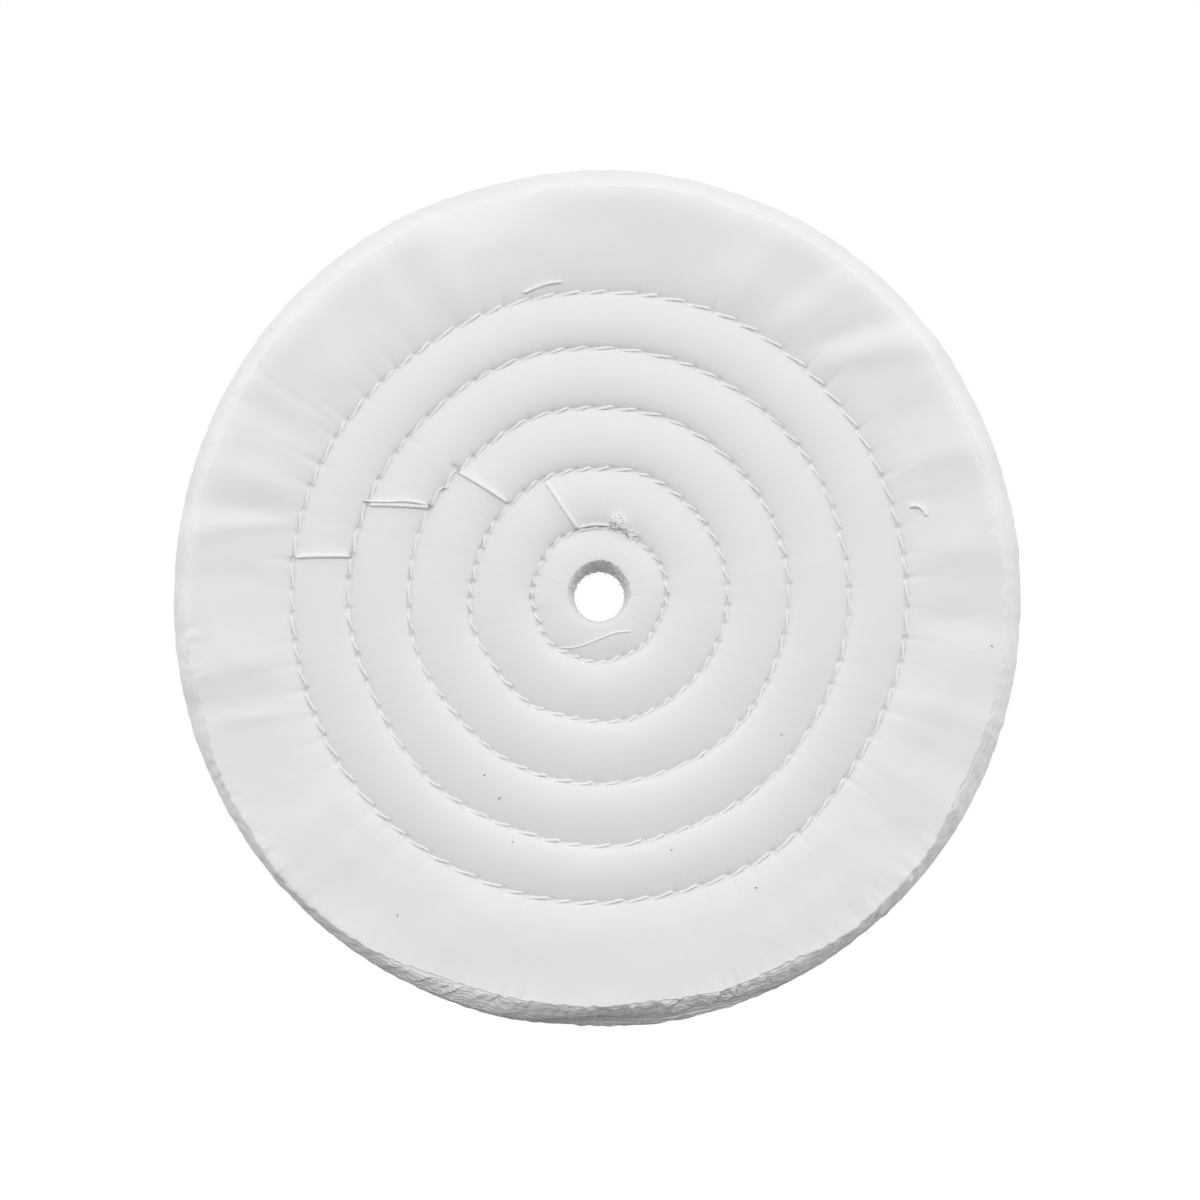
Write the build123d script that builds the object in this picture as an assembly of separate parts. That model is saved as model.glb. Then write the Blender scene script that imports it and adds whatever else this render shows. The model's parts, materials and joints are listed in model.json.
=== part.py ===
from build123d import *
import os
from math import cos, pi, radians, sin, sqrt

# Concentric-sewn cotton buffing wheel, in millimetres.
# Round plies of cotton cloth are stacked, sewn together by five rings of lockstitch and
# punched with one plain arbor hole. +Z is up, the wheel spins about Y, its front face
# looks towards -Y, and the origin is on the arbor axis at mid-thickness.

# ---- Driving dimensions ----
WHEEL_DIAMETER = 203.2  # 8 in
ARBOR_HOLE_DIAMETER = 12.7  # 1/2 in
PLY_COUNT = 40
CLOTH_SHARE = 0.9  # of each ply's room in the stack that is cloth, the rest being air
ROW_RADII = (16.1, 30.6, 45.3, 59.7, 73.5)  # seam rings, from the hub outwards
ROW_STITCHES = (30, 42, 50, 60, 74)
THREAD_DIAMETER = 0.7

# ---- Half of the stack's thickness, measured from the middle plane ----
HALF_AT_SEAM = 4.2  # pulled down by the stitches
HALF_AT_BULGE = 6.35  # between two rows, 1/2 in over both sides
HALF_AT_BORE = 5.4  # at the punched edge of the arbor hole
HALF_AT_MARGIN = 7.0  # the unsewn band outside the last row is the loftiest
HALF_AT_RIM = 6.0  # at the cut edge of the face plies

# ---- Where the face changes shape ----
SEAT_INNER = 9.0  # radii of the flat ring around the hole, where an arbor flange bears
SEAT_OUTER = 12.4
MARGIN_INNER = 81.0  # radii of the margin's flat band
MARGIN_OUTER = 92.0
CROWN_DROP = 4.4  # the rim is crowned: the face plies are this much smaller in radius
LIP_CREST = (0.35, 0.38)  # the hole's rounded lip: share of the way to the seat, and drop
HUB_SIDE = (1.2, 1.05)  # a point on the hub's slope: inside row 1, above its valley
MARGIN_RISE = (2.6, 1.75)  # a point on the margin's slope: outside row 5, above its valley
RIM_TURN = 0.3  # how much the face has turned down midway from the margin to its edge

# ---- Thread ----
THREAD_RADIUS = THREAD_DIAMETER / 2
THREAD_GAP = 0.05  # air between the two threads where they lock
LOCK_RADIUS = 2 * THREAD_RADIUS + THREAD_GAP  # half the width of the loop each one makes
THREAD_BEND = 0.45  # size of each of the thread's turns
SEAM_SEAT = 0.6  # from the valley's bottom to the centre of the thread in it
CROWN_SEAT = 0.4  # from a bulge's crown to the centre of a thread lying over it
JUMP_INSET = 1.4  # from a row to the end of a thread that crosses from it
JUMP_END_RISE = 1.3  # of that end above the seam's valley
FRONT = -1
BACK = 1

# Where the thread crosses from one row to the next inner one: row it leaves, angle
# there, row it reaches, angle there. Angles are in degrees from +X towards +Z.
JUMPS = (
    (5, 173.0, 4, 171.0),
    (4, 159.0, 3, 152.5),
    (3, 139.0, 2, 134.5),
    (2, 116.0, 1, 111.0),
)
START_TAIL_ANGLES = (98.0, 104.0)  # the thread's first end lies loose across row 5
START_TAIL_RADII = (72.4, 76.6)
START_TAIL_RISE = 1.65  # above the seam's valley
START_TAIL_ARCH = 0.4
ROW_STARTS = (111.0, 134.5, 152.5, 171.0, 98.0)  # angle of each row's first needle hole
KNOT_ANGLE = 70.0  # the thread's last end is bunched beside row 1
KNOT_RADIUS = 17.2
KNOT_SIZE = (5.0, 1.6, 3.4)


def face_stretches(rim):
    """The face from the hole to a rim radius, at full half-thickness, as (radius, half).

    After the starting point, each entry is one stretch's later points: two of them make
    an arc, one makes a straight line.
    """
    bore = ARBOR_HOLE_DIAMETER / 2
    first, last = ROW_RADII[0], ROW_RADII[-1]
    crest = (bore + LIP_CREST[0] * (SEAT_INNER - bore), HALF_AT_BULGE - LIP_CREST[1])
    slope = (first - HUB_SIDE[0], HALF_AT_SEAM + HUB_SIDE[1])
    rise = (last + MARGIN_RISE[0], HALF_AT_SEAM + MARGIN_RISE[1])
    turn = ((MARGIN_OUTER + rim) / 2, HALF_AT_MARGIN - RIM_TURN)
    stretches = [
        (crest, (SEAT_INNER, HALF_AT_BULGE)),
        ((SEAT_OUTER, HALF_AT_BULGE),),
        (slope, (first, HALF_AT_SEAM)),
    ]
    for inner, outer in zip(ROW_RADII, ROW_RADII[1:]):
        stretches.append((((inner + outer) / 2, HALF_AT_BULGE), (outer, HALF_AT_SEAM)))
    stretches += [
        (rise, (MARGIN_INNER, HALF_AT_MARGIN)),
        ((MARGIN_OUTER, HALF_AT_MARGIN),),
        (turn, (rim, HALF_AT_RIM)),
    ]
    return (bore, HALF_AT_BORE), stretches


def face_edges(level, rim):
    """The section scaled towards the middle plane: level -1 is the front face, 1 the back."""
    start, stretches = face_stretches(rim)
    here = (start[0], level * start[1])
    edges = []
    for stretch in stretches:
        points = [(radius, level * half) for radius, half in stretch]
        if len(points) == 2:
            edges.append(ThreePointArc(here, *points))
        else:
            edges.append(Line(here, points[0]))
        here = points[-1]
    return edges


def ply(index):
    """One round of cloth, revolved about the arbor axis. Index 0 is the front face."""
    step = 2 / (PLY_COUNT - 1 + CLOTH_SHARE)
    low = -1 + index * step
    high = low + CLOTH_SHARE * step
    middle = (low + high) / 2
    rim = WHEEL_DIAMETER / 2 - CROWN_DROP * middle**2
    lower, upper = face_edges(low, rim), face_edges(high, rim)
    hole_side = Line(lower[0] @ 0, upper[0] @ 0)
    rim_side = Line(lower[-1] @ 1, upper[-1] @ 1)
    section = make_face(Wire(lower + [rim_side] + upper + [hole_side]))
    return revolve(section, Axis.Y, 360)


def ring_point(radius, angle, y):
    return Vector(radius * cos(angle), y, radius * sin(angle))


def at(point, y):
    return Vector(point.X, y, point.Z)


def stitch_holes(row, side):
    """For each needle hole of a row, where the thread goes in and where it comes out.

    The front thread's loops lean one way and the back thread's the other, so each loop
    passes through its partner without touching it.
    """
    radius, count = ROW_RADII[row - 1], ROW_STITCHES[row - 1]
    holes = []
    for stitch in range(count):
        angle = radians(ROW_STARTS[row - 1]) + 2 * pi * stitch / count
        outward = Vector(cos(angle), 0, sin(angle))
        along = Vector(-sin(angle), 0, cos(angle))
        reach = (along - outward * side) * (LOCK_RADIUS / sqrt(2))
        centre = ring_point(radius, angle, 0)
        holes.append((centre - reach, centre + reach))
    return holes


def tube(path, corners=Transition.TRANSFORMED):
    """Thread along a path of edges."""
    wire = Wire([edge for piece in path for edge in piece.edges()])
    plane = Plane(wire @ 0, z_dir=wire % 0)
    return sweep(plane * Circle(THREAD_RADIUS), path=wire, transition=corners)


def thread_row(row, side):
    """A lockstitch ring: runs on the face, and loops that lock at the middle of the stack."""
    holes = stitch_holes(row, side)
    face = side * (HALF_AT_SEAM + SEAM_SEAT)
    under = face - side * THREAD_BEND
    loop = -side * LOCK_RADIUS / 2
    above_loop = loop + side * THREAD_BEND
    points = []
    for (_, leaves), (enters, comes_out) in zip(holes, holes[1:] + holes[:1]):
        run = (enters - leaves).normalized() * THREAD_BEND
        across = (comes_out - enters).normalized() * THREAD_BEND
        points += [at(leaves, above_loop), at(leaves, under), at(leaves + run, face)]
        points += [at(enters - run, face), at(enters, under), at(enters, above_loop)]
        points += [at(enters + across, loop), at(comes_out - across, loop)]
    first_leg_to_last_leg = points[:-2]
    return tube([Polyline(*first_leg_to_last_leg)], Transition.RIGHT)


def jump(leave_row, leave_angle, reach_row, reach_angle, side):
    """The thread's crossing over the bulge between two rows."""
    start = ring_point(ROW_RADII[leave_row - 1], radians(leave_angle), 0)
    end = ring_point(ROW_RADII[reach_row - 1], radians(reach_angle), 0)
    inset = (end - start).normalized() * JUMP_INSET
    low = side * (HALF_AT_SEAM + JUMP_END_RISE)
    high = side * (HALF_AT_BULGE + CROWN_SEAT)
    middle = (start + end) / 2
    return tube([ThreePointArc(at(start + inset, low), at(middle, high), at(end - inset, low))])


def start_tail():
    y = -(HALF_AT_SEAM + START_TAIL_RISE)
    first, last = (radians(angle) for angle in START_TAIL_ANGLES)
    inner, outer = START_TAIL_RADII
    start = ring_point(inner, first, y)
    middle = ring_point((inner + outer) / 2, (first + last) / 2, y - START_TAIL_ARCH)
    end = ring_point(outer, last, y - START_TAIL_ARCH / 2)
    return tube([ThreePointArc(start, middle, end)])


def knot():
    wide, deep, high = (size / 2 for size in KNOT_SIZE)
    ball = scale(Sphere(1), by=(wide, deep, high))
    y = -(HALF_AT_SEAM + SEAM_SEAT + 2 * deep)
    place = ring_point(KNOT_RADIUS, radians(KNOT_ANGLE), y)
    return Pos(place.X, place.Y, place.Z) * ball


def node_name(index):
    number = f"ply_{index + 1:02d}"
    if index == 0:
        return number + "_front_face"
    if index == PLY_COUNT - 1:
        return number + "_back_face"
    return number


def write(name, shape):
    export_step(shape, f"parts/{name}.step")


os.makedirs("parts", exist_ok=True)

for index in range(PLY_COUNT):
    write(node_name(index), ply(index))

for row in range(1, len(ROW_RADII) + 1):
    write(f"needle_thread_row_{row}", thread_row(row, FRONT))
    write(f"bobbin_thread_row_{row}", thread_row(row, BACK))

for crossing in JUMPS:
    name = f"needle_thread_jump_{crossing[0]}_to_{crossing[2]}"
    write(name, jump(*crossing, FRONT))
write("bobbin_thread_jumps", Compound(children=[jump(*each, BACK) for each in JUMPS]))
write("needle_thread_start_tail", start_tail())
write("needle_thread_knot", knot())
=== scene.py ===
import json
import math

import bpy
import numpy as np
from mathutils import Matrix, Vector


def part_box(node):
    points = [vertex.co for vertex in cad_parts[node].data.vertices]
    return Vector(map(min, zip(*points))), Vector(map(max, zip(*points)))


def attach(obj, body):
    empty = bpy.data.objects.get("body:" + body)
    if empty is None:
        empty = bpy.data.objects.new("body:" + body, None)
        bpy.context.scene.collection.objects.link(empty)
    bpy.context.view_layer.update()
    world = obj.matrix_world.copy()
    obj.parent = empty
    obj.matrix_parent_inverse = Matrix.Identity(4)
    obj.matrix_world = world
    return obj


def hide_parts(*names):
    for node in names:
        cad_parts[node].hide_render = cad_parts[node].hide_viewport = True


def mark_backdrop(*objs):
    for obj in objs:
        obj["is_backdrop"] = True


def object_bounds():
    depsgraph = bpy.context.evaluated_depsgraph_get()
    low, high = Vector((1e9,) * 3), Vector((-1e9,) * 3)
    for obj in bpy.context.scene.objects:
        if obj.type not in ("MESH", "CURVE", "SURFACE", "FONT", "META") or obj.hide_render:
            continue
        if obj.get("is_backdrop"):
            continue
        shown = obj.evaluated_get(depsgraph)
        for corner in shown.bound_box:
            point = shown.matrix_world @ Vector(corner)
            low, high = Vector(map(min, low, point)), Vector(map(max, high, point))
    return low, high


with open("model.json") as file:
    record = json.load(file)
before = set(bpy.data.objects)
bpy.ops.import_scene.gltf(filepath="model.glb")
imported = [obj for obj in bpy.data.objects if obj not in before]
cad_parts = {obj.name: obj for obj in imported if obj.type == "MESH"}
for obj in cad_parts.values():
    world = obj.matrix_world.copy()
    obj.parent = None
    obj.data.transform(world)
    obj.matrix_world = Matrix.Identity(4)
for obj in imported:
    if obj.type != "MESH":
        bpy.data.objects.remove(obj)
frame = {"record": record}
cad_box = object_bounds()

# A concentric-sewn cotton buffing wheel. It is worked out in millimetres around its axis,
# which is Y, and turned into metres where a mesh is made. The camera, the lamps, the floor
# and the textures are in metres. An angle runs from +X towards +Z, so it reads as it looks
# from the front, at -Y.
MM = 0.001
TURN = 2 * math.pi

# ---- Sizes taken from the frame ----
PLY_COUNT = 40
FRONT_PLY = "ply_01_front_face"
PLY_NODES = [FRONT_PLY] + [f"ply_{n:02d}" for n in range(2, PLY_COUNT)] + ["ply_40_back_face"]
ROWS = (1, 2, 3, 4, 5)
THREAD_REACH = 0.87  # from a seam's circle to the outside of its thread


def half_width(node):
    """Half of a node's size across the wheel, in mm."""
    low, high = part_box(node)
    return (high[0] - low[0]) / 2 / MM


def mount(name):
    return next(m for m in frame["record"]["mounts"] if m["name"] == name)


BORE_RADIUS = mount("arbor_bore")["dims"]["r_mm"]
HALF_AT_SEAT = mount("flange_seat_back")["pos_m"][1] / MM
RIM_RADIUS = (cad_box[1][0] - cad_box[0][0]) / 2 / MM
FACE_RADIUS = half_width(FRONT_PLY)
ROW_RADII = [half_width(f"needle_thread_row_{row}") - THREAD_REACH for row in ROWS]

# ---- The stack's half-thickness at rest ----
HALF_AT_SEAM = 4.6
HALF_AT_BULGE = HALF_AT_SEAT
HALF_AT_BORE = 5.9
HALF_AT_MARGIN = 6.9
SHOULDER = 92.0  # where the margin starts to round over towards the rim
ROUND_OVER = 0.22  # the share of the thickness lost there by the rim
LIP_START = 0.6  # how far from the hole's edge the hub starts to rise
LIP_WIDTH = 2.0  # how much further out it has risen to its full height
HUB_SLOPE_START = 8.6  # the radius at which the hub starts to slope down to the first seam
HUB_POWER = 2.2  # how late it falls on that slope
HUB_ROUNDING = 0.95
MARGIN_SLOPE = 4.2  # how slowly the margin rises from the last seam

# ---- Stitching ----
ROW_STITCHES = (30, 42, 50, 60, 74)
ROW_STARTS = (111.0, 134.5, 152.5, 171.0, 98.0)
THREAD = 0.7  # its thickness
SLACK = (-0.1, 0.14)  # how much lower or higher than the rest a stitch may lie
LOCK = 0.53  # how far a stitch's two legs stand from the hole's middle, each way
LOOP_REACH = 0.35  # how far past mid-thickness a thread loops round the other one
LEG_HEIGHT = 1.2  # where a stitch's legs part, from mid-thickness
FRONT = -1
BACK = 1

rng = np.random.default_rng(815)


def smooth(low, high, value):
    t = np.clip((value - low) / (high - low), 0, 1)
    return t * t * (3 - 2 * t)


def away(angle, centre):
    """Angle from a centre, in degrees from -180 to 180."""
    return (np.degrees(angle) - centre + 180) % 360 - 180


def bell(angle, centre, width, power=2):
    """1 at a centre, falling away to 0 beyond a half-width, both in degrees."""
    return np.exp(-((away(angle, centre) / width) ** power))


class Wobble:
    """A smooth random curve around the circle, from a range of harmonics."""

    def __init__(self, size, low, high):
        self.orders = np.arange(low, high + 1)
        self.phases = rng.uniform(0, TURN, len(self.orders))
        weights = rng.uniform(0.5, 1.0, len(self.orders))
        self.weights = weights * size / np.sqrt((weights**2).sum() / 2)

    def __call__(self, angle):
        waves = np.cos(np.multiply.outer(angle, self.orders) + self.phases)
        return waves @ self.weights


class Crumple:
    """Random bumps over the disc, in cells around the circle by cells along the radius."""

    def __init__(self, size, around, step):
        self.size, self.around, self.step, self.rings = size, around, step, 64
        self.table = rng.uniform(-1, 1, (around, self.rings))

    def __call__(self, radius, angle):
        u = (angle / TURN % 1) * self.around
        v = radius / self.step
        iu, iv = np.floor(u).astype(int), np.floor(v).astype(int)
        fu, fv = smooth(0, 1, u - iu), smooth(0, 1, v - iv)
        a, b = iu % self.around, (iu + 1) % self.around
        c, d = iv % self.rings, (iv + 1) % self.rings
        t = self.table
        low = t[a, c] * (1 - fu) + t[b, c] * fu
        high = t[a, d] * (1 - fu) + t[b, d] * fu
        return self.size * (low * (1 - fv) + high * fv)


# ---- The seams and their needle holes ----
row_wobble = [Wobble(0.22, 2, 9) for _ in ROWS]
# The margin is loose. It has spread, in mm at the rim, more up and down than sideways,
# more upwards and to the left, and it has squarer shoulders along its top.
SPREAD = 1.08
SPREAD_TALLER = 0.9
SPREAD_UP = 0.6
SPREAD_LEFT = 0.45
SPREAD_SQUARE = 0.4


def true_radius(radius, angle):
    """Cloth radius to real radius: the sewn rings aren't quite round."""
    loose = smooth(ROW_RADII[-1], RIM_RADIUS, radius)
    shift = SPREAD - SPREAD_TALLER * np.cos(2 * angle)
    shift = shift + SPREAD_UP * np.sin(angle) - SPREAD_LEFT * np.cos(angle)
    shift = loose * (shift - SPREAD_SQUARE * np.cos(4 * angle) * (1 + np.sin(angle)) / 2)
    stations = [BORE_RADIUS, *ROW_RADII, RIM_RADIUS]
    for n, wobble in enumerate(row_wobble, start=1):
        before, here, after = stations[n - 1], stations[n], stations[n + 1]
        rising = (radius - before) / (here - before)
        falling = (after - radius) / (after - here)
        shift = shift + np.clip(np.minimum(rising, falling), 0, 1) * wobble(angle)
    return radius + shift


def needle_angles(row):
    """The angles of a row's needle holes, sewn at an uneven pace."""
    count = ROW_STITCHES[row - 1]
    pace = rng.uniform(0.8, 1.2, count)
    steps = np.cumsum(pace) / pace.sum() * TURN
    return math.radians(ROW_STARTS[row - 1]) + steps


HOLES = {row: needle_angles(row) for row in ROWS}
PULL = {row: rng.uniform(0.6, 1.25, ROW_STITCHES[row - 1]) for row in ROWS}


def nearest_hole(row, angle):
    """Distance along the seam to the nearest needle hole, in mm, and that hole's pull."""
    holes = HOLES[row] % TURN
    order = np.argsort(holes)
    ring = holes[order]
    here = angle % TURN
    after = np.searchsorted(ring, here) % len(ring)
    before = (after - 1) % len(ring)
    gap_after = (ring[after] - here) % TURN
    gap_before = (here - ring[before]) % TURN
    nearer = np.where(gap_after < gap_before, after, before)
    gap = np.where(gap_after < gap_before, -gap_after, gap_before)
    return gap * ROW_RADII[row - 1], PULL[row][order[nearer]]


# ---- The stack's shape before its wrinkles ----
CREST_INWARDS = 0.78
BULGE_POWER = 2.15
BULGE_ROUNDING = 0.96


def bulge(share):
    """Height across the puffed band between two seams: its crest is nearer the inner one."""
    return (1 - np.abs(2 * share**CREST_INWARDS - 1) ** BULGE_POWER) ** BULGE_ROUNDING


def half_thickness(radius):
    """Half-thickness at a cloth radius."""
    first, last = ROW_RADII[0], ROW_RADII[-1]
    inside = 1 - np.clip((radius - BORE_RADIUS - LIP_START) / LIP_WIDTH, 0, 1)
    lip = HALF_AT_BORE + (HALF_AT_BULGE - HALF_AT_BORE) * np.sqrt(1 - inside**2)
    down = np.clip((radius - HUB_SLOPE_START) / (first - HUB_SLOPE_START), 0, 1)
    half = HALF_AT_SEAM + (lip - HALF_AT_SEAM) * (1 - down**HUB_POWER) ** HUB_ROUNDING
    for inner, outer in zip(ROW_RADII, ROW_RADII[1:]):
        share = np.clip((radius - inner) / (outer - inner), 0, 1)
        ring = HALF_AT_SEAM + (HALF_AT_BULGE - HALF_AT_SEAM) * bulge(share)
        half = np.where(radius > inner, ring, half)
    rise = 1 - np.exp(-np.clip(radius - last, 0, None) / MARGIN_SLOPE)
    margin = HALF_AT_SEAM + (HALF_AT_MARGIN - HALF_AT_SEAM) * rise
    over = np.clip((radius - SHOULDER) / (RIM_RADIUS - SHOULDER), 0, 1.1)
    margin = margin * (1 - ROUND_OVER * over**2)
    return np.where(radius > last, margin, half)


# ---- The rim's crown ----
# Where the faces reach further out than elsewhere: angle, half-width in degrees, and the
# share by which the crown is shallower there.
FULLER = ((222.0, 20.0, 0.6), (252.0, 9.0, -0.2), (314.0, 16.0, 0.4), (190.0, 12.0, 0.2))
# The crown's section is a power of the distance from its crest: square-shouldered, but
# plainer where the rim leans or its plies are crisp.
CROWN_POWER = 3.6
LEANING_POWER = 1.6
CRISP_POWER = 2.4
# Where the rim leans back, so that its front slants under: angle and half-width in
# degrees, how much deeper the crown is there, and the level its crest moves to.
LEAN_ANGLE = 276.0
LEAN_WIDTH = 18.0
LEAN_DEPTH = 0.18
LEAN_CREST = 0.6
# Where the rim is crinkled most: angle, half-width in degrees, and how much.
FRILLS = ((212.0, 18.0, 0.3), (250.0, 12.0, 0.8), (282.0, 20.0, 1.0), (318.0, 16.0, 0.4))
LEAST_FRILL = 0.2
# Where the cut edges stay flat and crisp instead of rolling over: angle and half-width in
# degrees, and the share by which a ply's last rings of points are drawn out to its edge.
CRISP = ((249.0, 12.0), (286.0, 9.0))
CRISPNESS = 0.88


def crisp(angle):
    """1 where the cut edges are crisp, 0 where they roll over."""
    return sum(bell(angle, c, w, 4) for c, w in CRISP)


def leaning(angle):
    """1 where the rim leans back, 0 away from there."""
    return bell(angle, LEAN_ANGLE, LEAN_WIDTH)


def from_crest(level, angle):
    """0 at the rim's crest, 1 at either face."""
    crest = LEAN_CREST * leaning(angle)
    to_front, to_back = (crest - level) / (1 + crest), (level - crest) / (1 - crest)
    return np.clip(np.where(level < crest, to_front, to_back), 0, 1)


def crown(level, angle):
    """The share of the crown's depth that a ply at some level falls short of the rim."""
    lean = leaning(angle)
    upright = CROWN_POWER - (CROWN_POWER - CRISP_POWER) * crisp(angle)
    return from_crest(level, angle) ** (lean * LEANING_POWER + (1 - lean) * upright)


def crown_depth(angle):
    """How far the cut edges at the faces fall short of the rim, in mm."""
    fuller = sum(much * bell(angle, c, w) for c, w, much in FULLER)
    return (RIM_RADIUS - FACE_RADIUS) * (1 - fuller + LEAN_DEPTH * leaning(angle))


def frill(angle):
    """How much the rim is crinkled."""
    return LEAST_FRILL + sum(much * bell(angle, c, w) for c, w, much in FRILLS)


# ---- Wrinkles and puckers of a face ----
# Radial folds of the loose margin: angle, half-width in degrees, height in mm, and how
# far the fold leans round towards the rim, in degrees.
FRONT_FOLDS = (
    (7.0, 3.4, 0.6, 0.0),
    (15.5, 2.6, -0.4, 0.0),
    (23.0, 2.4, 0.45, -1.5),
    (31.0, 2.6, -0.35, -1.5),
    (46.5, 2.6, 0.75, -8.5),
    (51.0, 2.2, -0.65, -8.5),
    (56.0, 2.4, 0.4, -5.5),
    (60.5, 2.2, -0.35, -6.0),
    (66.5, 2.8, 0.45, -4.5),
    (75.0, 4.0, -0.45, -5.0),
    (115.5, 3.2, 0.5, 0.0),
    (121.5, 2.6, -0.4, 0.0),
    (139.5, 4.5, 0.4, 0.0),
    (147.0, 0.8, -0.12, 0.0),
    (151.5, 2.6, -0.4, 0.0),
    (161.5, 2.6, 0.55, 0.0),
    (165.3, 1.9, -0.45, 2.0),
    (166.5, 1.6, 0.35, 4.8),
    (177.5, 2.6, -0.35, 0.0),
    (189.5, 3.4, 0.35, 0.0),
    (192.0, 1.9, 0.3, -0.5),
    (197.5, 2.2, -0.35, -1.0),
    (202.0, 1.0, 0.2, -4.0),
    (219.0, 4.0, 0.55, 0.0),
    (230.5, 4.0, -0.5, 0.0),
    (249.0, 4.0, 0.2, -3.0),
    (283.0, 5.0, 0.25, 0.0),
    (301.0, 3.0, -0.2, 0.0),
    (314.0, 3.0, 0.3, 0.0),
    (321.5, 2.2, -0.25, 0.0),
    (328.5, 2.2, 0.25, 0.0),
    (334.0, 2.0, -0.25, 0.0),
    (341.0, 2.4, 0.4, 0.0),
    (355.5, 3.0, -0.65, 0.0),
)


def random_folds(count):
    """Folds for the face that has none listed."""
    centres = np.arange(count) * 360 / count + rng.uniform(-4, 4, count)
    heights = rng.uniform(0.25, 0.8, count) * np.where(np.arange(count) % 2, -1, 1)
    return [(a, rng.uniform(2.0, 4.5), h, rng.uniform(-3, 3)) for a, h in zip(centres, heights)]


def fold_height(folds, radius, angle):
    """Each fold grows from the last seam outwards and widens towards the rim."""
    share = np.clip((radius - ROW_RADII[-1]) / (FACE_RADIUS - ROW_RADII[-1]), 0, 1.2)
    reach = smooth(-0.08, 0.5, share)
    total = np.zeros_like(radius)
    for centre, width, height, lean in folds:
        total += height * bell(angle, centre + lean * share, width * (0.75 + 0.35 * share))
    return total * reach


# How the stitches pull the face in, in mm: along the whole seam, in creases that run out
# from each needle hole, outside the last row in longer ones, and in a dimple at the hole,
# which is deeper at the wheel's sides.
GROOVE = 0.28
GROOVE_WIDTH = 0.6
PUCKER = 0.13
PUCKER_WIDTH = 0.7
PUCKER_REACH = 1.2
LEAST_REACH = 0.4
OUTER_PUCKER = 0.22
OUTER_PUCKER_WIDTH = 0.9
OUTER_PUCKER_REACH = 3.5
DIMPLE = 0.6
DIMPLE_AT_SIDES = 1.3
DIMPLE_LENGTH = 0.42
DIMPLE_WIDTH = 0.36
SEAM_REACH = 9.0  # how far from a seam its puckers are worked out
# How much of its swells the sewn part of a face shows, and how much more the loose margin.
SEWN_SWELL = 0.2
MARGIN_SWELL = 0.8
# How deep the pleats along a cut edge are, and how much deeper where the rim is crinkled.
PLEATED = 0.4
PLEATED_FRILL = 1.2
EDGE_PLEATS = (4.5, 0.5)  # from how far inside the edge they rise, to how far outside it
# Along the wheel's upper half, the last few millimetres of a face ply curl back over the
# plies behind it. Along its lower half the margin flares outwards instead.
EDGE_CURL = 0.5
EDGE_CURL_WIDTH = 4.0
FLARE = 0.95
FLARE_WIDTH = 6.0
PIT_DEPTH = 2.0  # a pit's depth, and its radius below, for a size of 1
PIT_RADIUS = 0.55


def below(angle):
    """About 0 over the wheel's upper half, and 1 well below its middle."""
    return smooth(-0.1, 0.7, -np.sin(angle))


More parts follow.
